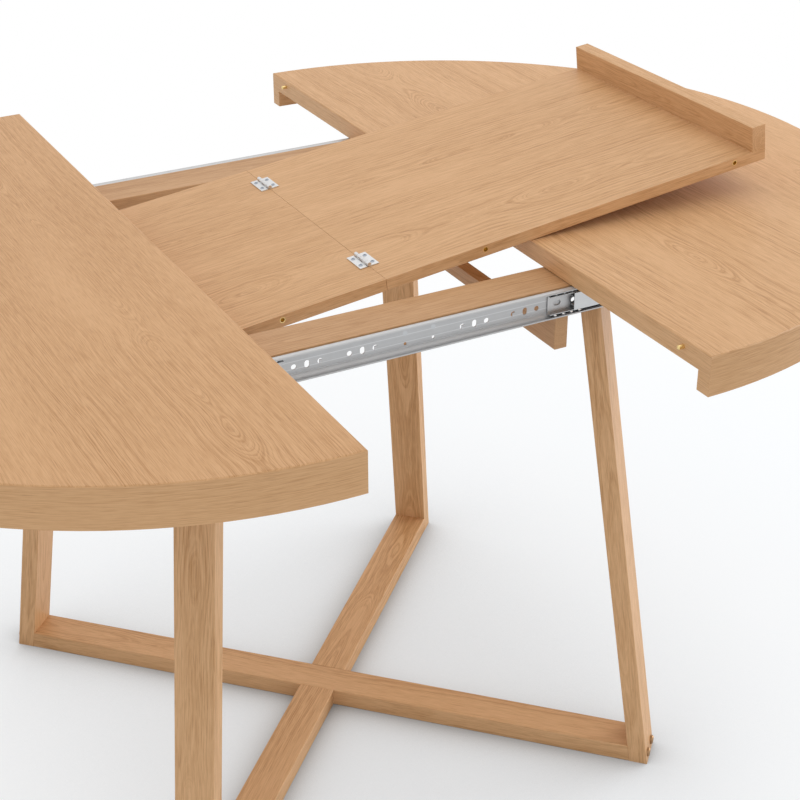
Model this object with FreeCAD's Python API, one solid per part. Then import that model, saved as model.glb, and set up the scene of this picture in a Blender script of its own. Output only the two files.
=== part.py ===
import FreeCAD, Part
import math
import os

from FreeCAD import Vector

# Butterfly leaf table: a round top in two halves on ball bearing slides, drawn apart,
# with a hinged leaf lying across the opening. Millimetres, +Z up, origin on the floor
# under the middle of the table. X runs along the slides, Y along the cut edges.

# Round top
TOP_RADIUS = 550.0
TOP_HEIGHT = 744.0
PANEL_THICKNESS = 24.0
RIM_WIDTH = 20.0
RIM_DEPTH = 24.0
TOP_ARRIS = 1.5
ARRIS = 1.0

# Hinged leaf, which fills the opening when it is turned over and across
LEAF_WIDTH = 400.0
LEAF_THICKNESS = 15.0
LEAF_LIP_WIDTH = 20.0
LEAF_JOINT_GAP = 1.5
SEAM_GAP = 0.4
SEAM_X = 3.0
SEAT_GAP = 0.2

# Brass alignment pins and sockets in the mating edges
PIN_RADIUS = 2.5
PIN_STICK_OUT = 7.5
PIN_EMBED = 16.0
PIN_DROP = 9.0
PIN_INNER_Y = 134.0
PIN_END_INSET = 48.0
PIN_TIP = 1.0
SOCKET_WALL = 1.0
SOCKET_PLAY = 0.1

# Butt hinges on the seam
HINGE_LENGTH = 36.0
HINGE_HALF_WIDTH = 12.5
HINGE_SHEET = 1.2
HINGE_OFFSET = 141.0
HINGE_LIFT = 0.1
KNUCKLE_RADIUS = 2.6
KNUCKLE_COUNT = 5
KNUCKLE_PLAY = 0.25
HINGE_PIN_RADIUS = 1.3
HINGE_PIN_PLAY = 0.05
HINGE_SCREW_PITCH = 20.0
HINGE_SCREW_INSET = 4.6
HINGE_SCREW_HEAD_RADIUS = 2.6
HINGE_SCREW_HEAD = 0.7
HINGE_SCREW_DOME = 0.35
HINGE_SCREW_SLOT = 3.2
HINGE_SCREW_SLOT_WIDTH = 0.8
HINGE_SCREW_SLOT_DEPTH = 0.45
HINGE_SCREW_RADIUS = 1.3
HINGE_SCREW_LENGTH = 9.0

# Under-frame: two flat rails on two stepped cross beams
TOP_CLEARANCE = 1.0
LEAF_SIDE_CLEARANCE = 25.0
RAIL_WIDTH = 59.0
RAIL_THICKNESS = 16.0
RAIL_OVERHANG = 138.5
BEAM_PROUD = 0.5
BEAM_THICKNESS = 18.0
BEAM_HEIGHT = 65.0
BEAM_WEB_HEIGHT = 19.5
LEDGE_DROP = 7.0
LEDGE_OVERLAP = 15.0
BEAM_SCREW_RADIUS = 2.0
BEAM_SCREW_HEAD_RADIUS = 4.0
BEAM_SCREW_HEAD = 3.0
BEAM_SCREW_LENGTH = 45.0
BEAM_SCREW_BITE = 11.0
BEAM_SCREW_PITCH = 30.0

# Ball bearing slides on the outer edges of the rails
SLIDE_HEIGHT = 35.0
SLIDE_DEPTH = 10.0
SLIDE_SHEET = 1.0
SLIDE_LIP = 1.6
BEND = 1.2
RACE_BEND = 5.0
WEB_LINE_HEIGHT = 10.0
WEB_LINE_WIDTH = 1.2
WEB_LINE_DEPTH = 0.4
BALL_DIAMETER = 4.6
BALL_PLAY = 0.1
CAGE_SHEET = 0.4
CAGE_GAP = 0.2
CAGE_BEND = 4.0
CAGE_EDGE = 0.8
CAGE_END = 5.0
DRAWER_PROUD = 0.5
DRAWER_SETBACK = 1.0
DRAWER_LENGTH = 300.0
DRAWER_PLATE_HEIGHT = 22.0
MIDDLE_EXPOSED = 32.5
MIDDLE_LENGTH = 230.0
OUTER_CAGE_START = 3.0
OUTER_CAGE_LENGTH = 118.0
INNER_CAGE_START = 92.0
INNER_CAGE_LENGTH = 100.0
OUTER_CAGE_BALLS = 4
INNER_CAGE_BALLS = 3
BALL_PITCH = 11.3
HOLE_GROUP_START = 56.0
HOLE_GROUP_PITCH = 68.0
HOLE_PITCH = 16.0
HOLE_GROUPS = 2
HOLE_DROP = 2.0
HOLE_RADIUS = 3.2
OBLONG_WIDTH = 6.0
OBLONG_HEIGHT = 9.0
TONGUE_BACK = 0.8
TONGUE_RISE = 1.5
PILOT_HOLE_RADIUS = 1.9
END_HOLE_X = 207.0
SLIDE_END_INSET = 36.0
MIDDLE_SLOT_INSET = 13.0
MIDDLE_HOLE_INSET = 35.0
MIDDLE_SLOT_LENGTH = 10.0
MIDDLE_SLOT_WIDTH = 7.0
SLIDE_SCREW_X = 18.0
SLIDE_SCREW_RISE = 6.5
SLIDE_SCREW_HEAD_RADIUS = 3.0
SLIDE_SCREW_RADIUS = 1.6
SLIDE_SCREW_LENGTH = 18.0

# Battens that carry each half top on its slides
BATTEN_THICKNESS = 18.0
BATTEN_HEIGHT = 30.0
BATTEN_SETBACK = 98.5
BATTEN_LENGTH = 200.0
BATTEN_SCREW_INSET = 30.0
BATTEN_SCREW_HEAD = 1.3
BATTEN_SCREW_HEAD_RADIUS = 3.6
BATTEN_SCREW_RADIUS = 1.7
BATTEN_SCREW_LENGTH = 15.0
PANEL_SCREW_LENGTH = 40.0

# Base: two crossed floor bars and four leaning legs
FOOT_REACH = 479.0
LEG_WIDTH = 50.0
LEG_THICKNESS = 25.0
BAR_WIDTH = 50.0
BAR_HEIGHT = 25.0
BOLT_RADIUS = 3.0
BOLT_HEAD_RADIUS = 6.3
BOLT_HEAD = 4.5
BOLT_DOME = 1.6
BOLT_SEAT = 1.0
BOLT_SPACING = 27.0
FOOT_BOLT_LENGTH = 60.0
TOP_BOLT_LENGTH = 50.0

# Two places closer than this count as one when edges are picked
SAME = 0.01

# Levels and places that follow from the sizes above
HALF_OPENING = LEAF_WIDTH / 2 + LEAF_JOINT_GAP
PIN_OUTER_Y = TOP_RADIUS - PIN_END_INSET
PANEL_UNDERSIDE = TOP_HEIGHT - PANEL_THICKNESS
RIM_UNDERSIDE = PANEL_UNDERSIDE - RIM_DEPTH
RAIL_TOP = PANEL_UNDERSIDE - TOP_CLEARANCE
RAIL_UNDERSIDE = RAIL_TOP - RAIL_THICKNESS
RAIL_INNER = LEAF_WIDTH / 2 + LEAF_SIDE_CLEARANCE
RAIL_OUTER = RAIL_INNER + RAIL_WIDTH
RAIL_CENTRE = (RAIL_INNER + RAIL_OUTER) / 2
RAIL_HALF_LENGTH = HALF_OPENING + RAIL_OVERHANG
BEAM_OFFSET = HALF_OPENING + BEAM_PROUD - BEAM_THICKNESS / 2
BEAM_UNDERSIDE = RAIL_UNDERSIDE - BEAM_HEIGHT
LEDGE_LEVEL = RAIL_UNDERSIDE - LEDGE_DROP
LEDGE_INNER = LEAF_WIDTH / 2 - LEDGE_OVERLAP
BEAM_SCREW_SEAT = RAIL_UNDERSIDE + BEAM_SCREW_BITE - BEAM_SCREW_LENGTH
LEG_TOP_REACH = RAIL_CENTRE * math.sqrt(2) + LEG_THICKNESS / 2
LEG_LEAN = (FOOT_REACH - LEG_TOP_REACH) / RAIL_UNDERSIDE
LEGS = ("leg_back_right", "leg_back_left", "leg_front_left", "leg_front_right")
SIDES = {"front": -1, "back": 1}
HALVES = {"left": -1, "right": 1}

# The leaf leans from the ledge of the left beam up to the cut edge of the right half
LEAF_LIP_DEPTH = PANEL_THICKNESS + RIM_DEPTH - LEAF_THICKNESS
LEAF_REST_X = -(BEAM_OFFSET + BEAM_THICKNESS / 2)
LEAF_TILT = math.atan2(TOP_HEIGHT - LEDGE_LEVEL, HALF_OPENING - LEAF_REST_X)
LEAF_FACE_OFFSET = LEAF_THICKNESS + SEAT_GAP

# Slide section: distance out from the rail, and height above the slide's own middle
SLIDE_LEVEL = RAIL_TOP - SLIDE_HEIGHT / 2
RACE = BALL_DIAMETER + 2 * BALL_PLAY
LAYER_GAP = CAGE_SHEET + 2 * CAGE_GAP
OUTER_HALF = SLIDE_HEIGHT / 2
MIDDLE_HALF = OUTER_HALF - SLIDE_SHEET - RACE
DRAWER_HALF = MIDDLE_HALF - SLIDE_SHEET - RACE
MIDDLE_WEB = SLIDE_SHEET + LAYER_GAP
DRAWER_TIP = MIDDLE_WEB + SLIDE_SHEET + LAYER_GAP + CAGE_GAP
DRAWER_FACE = SLIDE_DEPTH + DRAWER_PROUD
DRAWER_BACK = DRAWER_FACE - SLIDE_SHEET
MIDDLE_REACH = SLIDE_DEPTH - SLIDE_SHEET - CAGE_GAP
OUTER_BALL_HEIGHT = MIDDLE_HALF + RACE / 2
INNER_BALL_HEIGHT = DRAWER_HALF + RACE / 2
OUTER_BALL_OUT = MIDDLE_REACH - BALL_DIAMETER / 2 - CAGE_GAP
INNER_BALL_OUT = (DRAWER_TIP + DRAWER_BACK) / 2

os.makedirs("parts", exist_ok=True)


def export(name, shape):
    """Writes one node, refined, as its own STEP file."""
    shape.removeSplitter().exportStep("parts/" + name + ".step")


def group(solids):
    """Joins separate solids into one shape without fusing them."""
    return Part.makeCompound(solids)


def box(x_range, y_range, z_range):
    """Makes a box from three ranges, each given in either order."""
    lows = [min(r) for r in (x_range, y_range, z_range)]
    sizes = [abs(r[1] - r[0]) for r in (x_range, y_range, z_range)]
    return Part.makeBox(*sizes, Vector(*lows))


def rod(start, direction, radius, length):
    """Makes a round bar from a start point along a direction."""
    return Part.makeCylinder(radius, length, Vector(*start), Vector(*direction))


def prism(points, along):
    """Extrudes a closed outline of 3-D points along a vector."""
    wire = Part.makePolygon([Vector(*p) for p in points] + [Vector(*points[0])])
    return Part.Face(wire).extrude(Vector(*along))


def mirror_half(shape, half):
    """Turns a shape built for the right half into the left one."""
    if half > 0:
        return shape
    return shape.mirror(Vector(0, 0, 0), Vector(1, 0, 0))


def eased(shape, shortest, radius=ARRIS):
    """Rounds the arrises of a board that are at least a given length."""
    return shape.makeFillet(radius, [e for e in shape.Edges if e.Length > shortest - SAME])


def tapered_tip(pin, tip, taper):
    """Chamfers the end of a round pin that lies farthest along its tip point."""
    edges = [e for e in pin.Edges if e.CenterOfMass.sub(Vector(*tip)).Length < SAME]
    return pin.makeChamfer(taper, edges)


# Half tops

def pin_rows():
    """Heights along the cut edge where pins and sockets sit, front to back."""
    return [-PIN_OUTER_Y, -PIN_INNER_Y, PIN_INNER_Y, PIN_OUTER_Y]


def half_disc(radius, low, high):
    """A half disc on the +X side of the cut edge."""
    top = Vector(HALF_OPENING, radius, low)
    side = Vector(HALF_OPENING + radius, 0, low)
    bottom = Vector(HALF_OPENING, -radius, low)
    arc = Part.Arc(top, side, bottom).toShape()
    cut_edge = Part.LineSegment(bottom, top).toShape()
    return Part.Face(Part.Wire([arc, cut_edge])).extrude(Vector(0, 0, high - low))


def right_pin(y):
    """A pin that stands out of the right half's cut edge."""
    tip = (HALF_OPENING - PIN_STICK_OUT, y, TOP_HEIGHT - PIN_DROP)
    pin = rod(tip, (1, 0, 0), PIN_RADIUS, PIN_STICK_OUT + PIN_EMBED)
    return tapered_tip(pin, tip, PIN_TIP)


def socket(start, direction):
    """A brass bush, open at its start, that takes a pin."""
    bore = PIN_RADIUS + SOCKET_PLAY
    shell = rod(start, direction, bore + SOCKET_WALL, PIN_EMBED)
    return shell.cut(rod(start, direction, bore, PIN_STICK_OUT + SOCKET_WALL))


def edge_fitting(half, y):
    """The pin or socket of a half top, on its own side."""
    if half > 0:
        return right_pin(y)
    return socket((-HALF_OPENING, y, TOP_HEIGHT - PIN_DROP), (-1, 0, 0))


def fitting_bore(half, y):
    """The bore in a half top that takes its pin or socket."""
    radius = PIN_RADIUS if half > 0 else PIN_RADIUS + SOCKET_PLAY + SOCKET_WALL
    start = (half * HALF_OPENING, y, TOP_HEIGHT - PIN_DROP)
    return rod(start, (half, 0, 0), radius, PIN_EMBED)


def round_upper_edge(panel):
    """Eases the upper arris of a half top, along the curve and the cut."""
    edges = [e for e in panel.Edges if abs(e.CenterOfMass.z - TOP_HEIGHT) < SAME]
    return panel.makeFillet(TOP_ARRIS, edges)


def batten_x():
    """The two ends of a right-hand batten along X."""
    start = HALF_OPENING + BATTEN_SETBACK
    return start, start + BATTEN_LENGTH


def batten_screw_places():
    """Places along X of the screws of one batten."""
    start, end = batten_x()
    return [start + BATTEN_SCREW_INSET, (start + end) / 2, end - BATTEN_SCREW_INSET]


def slide_y(side, out):
    """Y of a point that lies a distance out from the rail's edge."""
    return side * (RAIL_OUTER + out)


def drawer_screw(side, x):
    """A pan head screw from inside the drawer member into the batten."""
    head_start = (x, slide_y(side, DRAWER_BACK - BATTEN_SCREW_HEAD), SLIDE_LEVEL)
    head = rod(head_start, (0, side, 0), BATTEN_SCREW_HEAD_RADIUS, BATTEN_SCREW_HEAD)
    shank_start = (x, slide_y(side, DRAWER_BACK), SLIDE_LEVEL)
    shank = rod(shank_start, (0, side, 0), BATTEN_SCREW_RADIUS, BATTEN_SCREW_LENGTH)
    return head.fuse(shank)


def panel_screw(side, x):
    """A screw up through the batten into the panel, head let into the wood."""
    y = slide_y(side, DRAWER_FACE + BATTEN_THICKNESS / 2)
    low = PANEL_UNDERSIDE - BATTEN_HEIGHT
    head = rod((x, y, low), (0, 0, 1), BATTEN_SCREW_HEAD_RADIUS, BATTEN_SCREW_HEAD)
    shank_start = (x, y, low + BATTEN_SCREW_HEAD)
    shank = rod(shank_start, (0, 0, 1), BATTEN_SCREW_RADIUS, PANEL_SCREW_LENGTH)
    return head.fuse(shank)


def right_screws(side):
    """All screws of one right-hand batten."""
    first, middle, last = batten_screw_places()
    inner = (first + middle) / 2
    outer = (middle + last) / 2
    return [drawer_screw(side, x) for x in (first, middle, last)] + [
        panel_screw(side, x) for x in (inner, outer)
    ]


def right_batten(side):
    """The batten that joins the panel to the drawer member."""
    body = box(
        batten_x(),
        (slide_y(side, DRAWER_FACE), slide_y(side, DRAWER_FACE + BATTEN_THICKNESS)),
        (PANEL_UNDERSIDE - BATTEN_HEIGHT, PANEL_UNDERSIDE),
    )
    return body.cut(right_screws(side))


def make_half_top(name, half):
    """Writes panel, rim, edge fittings, battens and screws of one half."""
    screws = right_screws(-1) + right_screws(1)
    panel = round_upper_edge(half_disc(TOP_RADIUS, PANEL_UNDERSIDE, TOP_HEIGHT))
    panel = mirror_half(panel.cut(screws), half)
    panel = panel.cut([fitting_bore(half, y) for y in pin_rows()])
    export(name + "_top_panel", panel)

    rim = half_disc(TOP_RADIUS, RIM_UNDERSIDE, PANEL_UNDERSIDE)
    hollow = half_disc(TOP_RADIUS - RIM_WIDTH, RIM_UNDERSIDE, PANEL_UNDERSIDE)
    export(name + "_top_rim", mirror_half(rim.cut(hollow), half))

    fittings = group([edge_fitting(half, y) for y in pin_rows()])
    fitting_name = "_edge_pins" if half > 0 else "_edge_sockets"
    export(name + fitting_name, fittings)

    for side_name, side in SIDES.items():
        batten = mirror_half(right_batten(side), half)
        export(name + "_batten_" + side_name, batten)
    export(name + "_batten_screws", mirror_half(group(screws), half))


# Slides

def slide_prism(outline, side, x_range):
    """Extrudes a slide section, given as (out, up) points, along X."""
    points = [(x_range[0], slide_y(side, out), SLIDE_LEVEL + up) for out, up in outline]
    return prism(points, (x_range[1] - x_range[0], 0, 0))


def channel_outline(web, reach, half, sheet):
    """A plain channel, open outwards."""
    inner = half - sheet
    back = web + sheet
    return [
        (web, -half), (reach, -half), (reach, -inner), (back, -inner),
        (back, inner), (reach, inner), (reach, half), (web, half),
    ]


def outer_outline():
    """The fixed channel, with lips that keep the balls in."""
    inner = OUTER_HALF - SLIDE_SHEET
    lip = inner - SLIDE_LIP
    face = SLIDE_DEPTH
    back = SLIDE_DEPTH - SLIDE_SHEET
    lower = [
        (0, -OUTER_HALF), (face, -OUTER_HALF), (face, -lip), (back, -lip),
        (back, -inner), (SLIDE_SHEET, -inner),
    ]
    return lower + [(out, -up) for out, up in reversed(lower)]


def drawer_outline():
    """The drawer member: a plate with two ball flanges behind it."""
    plate = DRAWER_PLATE_HEIGHT / 2
    inner = DRAWER_HALF - SLIDE_SHEET
    lower = [
        (DRAWER_FACE, -plate), (DRAWER_BACK, -plate), (DRAWER_BACK, -DRAWER_HALF),
        (DRAWER_TIP, -DRAWER_HALF), (DRAWER_TIP, -inner), (DRAWER_BACK, -inner),
    ]
    return lower + [(out, -up) for out, up in reversed(lower)]


def bent(shape, side, corners, radius):
    """Rounds the long edges of a slide member at (out, up) corners and their mirrors."""
    places = [(out, sign * up) for out, up in corners for sign in (-1, 1)]
    edges = []
    for edge in shape.Edges:
        middle = edge.CenterOfMass
        out = side * middle.y - RAIL_OUTER
        up = middle.z - SLIDE_LEVEL
        along = edge.BoundBox.XLength > shape.BoundBox.XLength - SAME
        if along and any(abs(out - a) + abs(up - b) < SAME for a, b in places):
            edges.append(edge)
    return shape.makeFillet(radius, edges)


def fixed_channel(side):
    """The fixed channel with rolled corners and two pressed lines on its web."""
    inner = OUTER_HALF - SLIDE_SHEET
    back = SLIDE_DEPTH - SLIDE_SHEET
    x_range = (-RAIL_HALF_LENGTH, RAIL_HALF_LENGTH)
    blank = slide_prism(outer_outline(), side, x_range)
    blank = bent(blank, side, [(SLIDE_SHEET, inner)], RACE_BEND)
    blank = bent(blank, side, [(0, OUTER_HALF)], RACE_BEND + SLIDE_SHEET)
    blank = bent(blank, side, [(back, inner)], BEND)
    blank = bent(blank, side, [(SLIDE_DEPTH, OUTER_HALF)], BEND + SLIDE_SHEET)
    lines = [
        box(
            x_range,
            (slide_y(side, SLIDE_SHEET - WEB_LINE_DEPTH), slide_y(side, SLIDE_SHEET)),
            (SLIDE_LEVEL + sign * WEB_LINE_HEIGHT, SLIDE_LEVEL + sign * (WEB_LINE_HEIGHT + WEB_LINE_WIDTH)),
        )
        for sign in (-1, 1)
    ]
    return blank.cut(lines)


def web_hole(side, x, up, radius):
    """A round hole through a slide's web."""
    start = (x, slide_y(side, 0), SLIDE_LEVEL + up)
    return rod(start, (0, side, 0), radius, SLIDE_DEPTH)


def web_slot(side, x, up, width, length, angle):
    """A hole with round ends, upright at angle 0 and along X at 90."""
    radius = width / 2
    run = length / 2 - radius
    level = SLIDE_LEVEL + up
    start = slide_y(side, 0)
    ends = [
        rod((x, start, level + sign * run), (0, side, 0), radius, SLIDE_DEPTH)
        for sign in (-1, 1)
    ]
    middle = box(
        (x - radius, x + radius),
        (start, slide_y(side, SLIDE_DEPTH)),
        (level - run, level + run),
    )
    upright = middle.fuse(ends)
    return upright.rotated(Vector(x, start, level), Vector(0, 1, 0), angle)


def tongue_hole(side, x, up):
    """A round hole that a tongue of the sheet half fills, from below on the right."""
    level = SLIDE_LEVEL + up
    tongue = box(
        (x - TONGUE_BACK, x + HOLE_RADIUS),
        (slide_y(side, 0), slide_y(side, SLIDE_DEPTH)),
        (level - HOLE_RADIUS, level + TONGUE_RISE),
    )
    return web_hole(side, x, up, HOLE_RADIUS).cut(tongue)


def slide_screw_places():
    """Places along X of the screws that hold the fixed channel."""
    far = RAIL_HALF_LENGTH - SLIDE_END_INSET
    return [-far, -SLIDE_SCREW_X, SLIDE_SCREW_X, far]


def slide_screw(side, x):
    """A flat head screw, flush with the channel's web, into the rail's edge."""
    z = SLIDE_LEVEL + SLIDE_SCREW_RISE
    head = rod((x, slide_y(side, 0), z), (0, side, 0), SLIDE_SCREW_HEAD_RADIUS, SLIDE_SHEET)
    shank_start = (x, slide_y(side, -SLIDE_SCREW_LENGTH), z)
    shank = rod(shank_start, (0, side, 0), SLIDE_SCREW_RADIUS, SLIDE_SCREW_LENGTH)
    return head.fuse(shank)


def outer_holes(side):
    """The punched pattern of the fixed channel, alike to both ends."""
    tools = []
    for number in range(HOLE_GROUPS):
        first = HOLE_GROUP_START + number * HOLE_GROUP_PITCH
        for sign in (-1, 1):
            tools.append(tongue_hole(side, sign * first, -HOLE_DROP))
            oblong_x = sign * (first + HOLE_PITCH)
            tools.append(web_slot(side, oblong_x, -HOLE_DROP, OBLONG_WIDTH, OBLONG_HEIGHT, 0))
            tools.append(web_hole(side, sign * (first + 2 * HOLE_PITCH), -HOLE_DROP, HOLE_RADIUS))
    for sign in (-1, 1):
        tools.append(web_hole(side, sign * SLIDE_SCREW_X, -SLIDE_SCREW_RISE, PILOT_HOLE_RADIUS))
        tools.append(web_hole(side, sign * END_HOLE_X, -HOLE_DROP, HOLE_RADIUS))
    return tools


def caged_balls(web, reach, half, bend, ball_out, x_range, count, side):
    """A sheet cage, open in its web, with two rows of balls set in its flanges."""
    half_sheet = CAGE_SHEET / 2
    outline = channel_outline(web, reach, half + half_sheet, CAGE_SHEET)
    cage = slide_prism(outline, side, x_range)
    cage = bent(cage, side, [(web, half + half_sheet)], bend)
    cage = bent(cage, side, [(web + CAGE_SHEET, half - half_sheet)], bend - CAGE_SHEET)
    window = half + half_sheet - bend - CAGE_EDGE
    cage = cage.cut(box(
        (x_range[0] + CAGE_END, x_range[1] - CAGE_END),
        (slide_y(side, web), slide_y(side, web + CAGE_SHEET)),
        (SLIDE_LEVEL - window, SLIDE_LEVEL + window),
    ))
    balls = []
    for number in range(count):
        x = x_range[0] + BALL_PITCH * (number + 0.5)
        for sign in (-1, 1):
            place = Vector(x, slide_y(side, ball_out), SLIDE_LEVEL + sign * half)
            balls.append(Part.makeSphere(BALL_DIAMETER / 2, place))
    return cage.fuse(balls)


def make_fixed_channels():
    """Writes the two fixed channels and the screws that hold them."""
    screws = []
    for side_name, side in SIDES.items():
        held = [slide_screw(side, x) for x in slide_screw_places()]
        channel = fixed_channel(side).cut(outer_holes(side) + held)
        export("slide_channel_" + side_name, channel)
        screws += held
    export("slide_screws", group(screws))


def make_moving_slides(name, half):
    """Writes the middle members, drawer members and ball cages of one half."""
    drawer_start = HALF_OPENING + DRAWER_SETBACK
    middle_start = drawer_start - MIDDLE_EXPOSED
    outer_cage = middle_start + OUTER_CAGE_START
    inner_cage = middle_start + INNER_CAGE_START
    for side_name, side in SIDES.items():
        middle = slide_prism(
            channel_outline(MIDDLE_WEB, MIDDLE_REACH, MIDDLE_HALF, SLIDE_SHEET),
            side, (middle_start, middle_start + MIDDLE_LENGTH),
        )
        middle = bent(middle, side, [(MIDDLE_WEB, MIDDLE_HALF)], BEND)
        slot_x = middle_start + MIDDLE_SLOT_INSET
        hole_x = middle_start + MIDDLE_HOLE_INSET
        slots = [
            web_slot(side, slot_x, 0, MIDDLE_SLOT_WIDTH, MIDDLE_SLOT_LENGTH, 90),
            web_hole(side, hole_x, 0, MIDDLE_SLOT_WIDTH / 2),
        ]
        export(name + "_slide_middle_" + side_name, mirror_half(middle.cut(slots), half))

        drawer = slide_prism(drawer_outline(), side, (drawer_start, drawer_start + DRAWER_LENGTH))
        held = [drawer_screw(side, x) for x in batten_screw_places()]
        export(name + "_slide_drawer_" + side_name, mirror_half(drawer.cut(held), half))

        cage = caged_balls(
            SLIDE_SHEET + CAGE_GAP, MIDDLE_REACH, OUTER_BALL_HEIGHT, CAGE_BEND,
            OUTER_BALL_OUT, (outer_cage, outer_cage + OUTER_CAGE_LENGTH), OUTER_CAGE_BALLS, side,
        )
        export(name + "_outer_ball_cage_" + side_name, mirror_half(cage, half))

        cage = caged_balls(
            MIDDLE_WEB + SLIDE_SHEET + CAGE_GAP, DRAWER_BACK - CAGE_GAP, INNER_BALL_HEIGHT, BEND,
            INNER_BALL_OUT, (inner_cage, inner_cage + INNER_CAGE_LENGTH), INNER_CAGE_BALLS, side,
        )
        export(name + "_inner_ball_cage_" + side_name, mirror_half(cage, half))


# Under-frame and base

def turned(shape, angle):
    """Turns a shape built along +X about the table's upright axis."""
    return shape.rotated(Vector(0, 0, 0), Vector(0, 0, 1), angle)


def diagonal(quarter):
    """Angle of a diagonal of the table, counted in quarter turns."""
    return 45 + 90 * quarter


def leg_face(z):
    """Distance of a leg's outer face from the middle at a height."""
    return FOOT_REACH - LEG_LEAN * z


def foot_bolts():
    """The two bolts that fasten a leg to the end of its floor bar."""
    z = BAR_HEIGHT / 2
    seat = leg_face(z) - BOLT_SEAT
    bolts = []
    for sign in (-1, 1):
        y = sign * BOLT_SPACING / 2
        head = rod((seat, y, z), (1, 0, 0), BOLT_HEAD_RADIUS, BOLT_HEAD)
        head = tapered_tip(head, (seat + BOLT_HEAD, y, z), BOLT_DOME)
        shank = rod((seat - FOOT_BOLT_LENGTH, y, z), (1, 0, 0), BOLT_RADIUS, FOOT_BOLT_LENGTH)
        bolts.append(head.fuse(shank))
    return bolts


def foot_bolt_cutters():
    """Bores and flat seats for the foot bolts."""
    z = BAR_HEIGHT / 2
    seat = leg_face(z) - BOLT_SEAT
    tools = []
    for sign in (-1, 1):
        y = sign * BOLT_SPACING / 2
        tools.append(rod((seat - FOOT_BOLT_LENGTH, y, z), (1, 0, 0), BOLT_RADIUS, FOOT_BOLT_LENGTH))
        tools.append(rod((seat, y, z), (1, 0, 0), BOLT_HEAD_RADIUS, LEG_THICKNESS))
    return tools


def top_bolts():
    """The two bolts that fasten a rail down onto the top of a leg."""
    middle = LEG_TOP_REACH - LEG_THICKNESS / 2
    seat = RAIL_TOP - BOLT_HEAD
    bolts = []
    for sign in (-1, 1):
        y = sign * BOLT_SPACING / 2
        head = rod((middle, y, seat), (0, 0, 1), BOLT_HEAD_RADIUS, BOLT_HEAD)
        shank = rod((middle, y, seat - TOP_BOLT_LENGTH), (0, 0, 1), BOLT_RADIUS, TOP_BOLT_LENGTH)
        bolts.append(head.fuse(shank))
    return bolts


def leg():
    """A leaning leg, built along +X."""
    outline = [
        (FOOT_REACH - LEG_THICKNESS, -LEG_WIDTH / 2, 0),
        (FOOT_REACH, -LEG_WIDTH / 2, 0),
        (LEG_TOP_REACH, -LEG_WIDTH / 2, RAIL_UNDERSIDE),
        (LEG_TOP_REACH - LEG_THICKNESS, -LEG_WIDTH / 2, RAIL_UNDERSIDE),
    ]
    blank = eased(prism(outline, (0, LEG_WIDTH, 0)), RAIL_UNDERSIDE)
    return blank.cut(foot_bolt_cutters() + top_bolts())


def floor_bar(notch_low, notch_high):
    """A floor bar along X, halved where the other bar crosses it."""
    low = FOOT_REACH - LEG_THICKNESS
    high = leg_face(BAR_HEIGHT) - LEG_THICKNESS
    outline = [
        (-low, -BAR_WIDTH / 2, 0), (low, -BAR_WIDTH / 2, 0),
        (high, -BAR_WIDTH / 2, BAR_HEIGHT), (-high, -BAR_WIDTH / 2, BAR_HEIGHT),
    ]
    blank = eased(prism(outline, (0, BAR_WIDTH, 0)), 2 * high)
    half_width = BAR_WIDTH / 2
    notch = box((-half_width, half_width), (-half_width, half_width), (notch_low, notch_high))
    bolts = foot_bolt_cutters()
    return blank.cut([notch] + bolts + [turned(bolt, 180.0) for bolt in bolts])


def beam_screw(x, y):
    """A screw up through the end of a cross beam into a rail, its head deep in the beam."""
    seat = BEAM_SCREW_SEAT
    head = rod((x, y, seat - BEAM_SCREW_HEAD), (0, 0, 1), BEAM_SCREW_HEAD_RADIUS, BEAM_SCREW_HEAD)
    return head.fuse(rod((x, y, seat), (0, 0, 1), BEAM_SCREW_RADIUS, BEAM_SCREW_LENGTH))


def beam_bore(x, y):
    """The bore under a beam that lets in the head of a screw."""
    depth = BEAM_SCREW_SEAT - BEAM_SCREW_HEAD - BEAM_UNDERSIDE
    return rod((x, y, BEAM_UNDERSIDE), (0, 0, 1), BEAM_SCREW_HEAD_RADIUS, depth)


def beam_screw_places(half):
    """The four places of the screws of one beam."""
    offsets = (RAIL_CENTRE - BEAM_SCREW_PITCH / 2, RAIL_CENTRE + BEAM_SCREW_PITCH / 2)
    return [(half * BEAM_OFFSET, side * y) for side in SIDES.values() for y in offsets]


def cross_beam(half):
    """A beam, high under the rails, stepped for the leaf and low between."""
    web_top = BEAM_UNDERSIDE + BEAM_WEB_HEIGHT
    right_side = [
        (LEDGE_INNER, web_top), (LEDGE_INNER, LEDGE_LEVEL), (RAIL_INNER, LEDGE_LEVEL),
        (RAIL_INNER, RAIL_UNDERSIDE), (RAIL_OUTER, RAIL_UNDERSIDE), (RAIL_OUTER, BEAM_UNDERSIDE),
    ]
    outline = right_side + [(-y, z) for y, z in reversed(right_side)]
    x = half * BEAM_OFFSET - BEAM_THICKNESS / 2
    blank = eased(prism([(x, y, z) for y, z in outline], (BEAM_THICKNESS, 0, 0)), BEAM_HEIGHT)
    places = beam_screw_places(half)
    return blank.cut([beam_screw(*place) for place in places] + [beam_bore(*place) for place in places])


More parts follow.
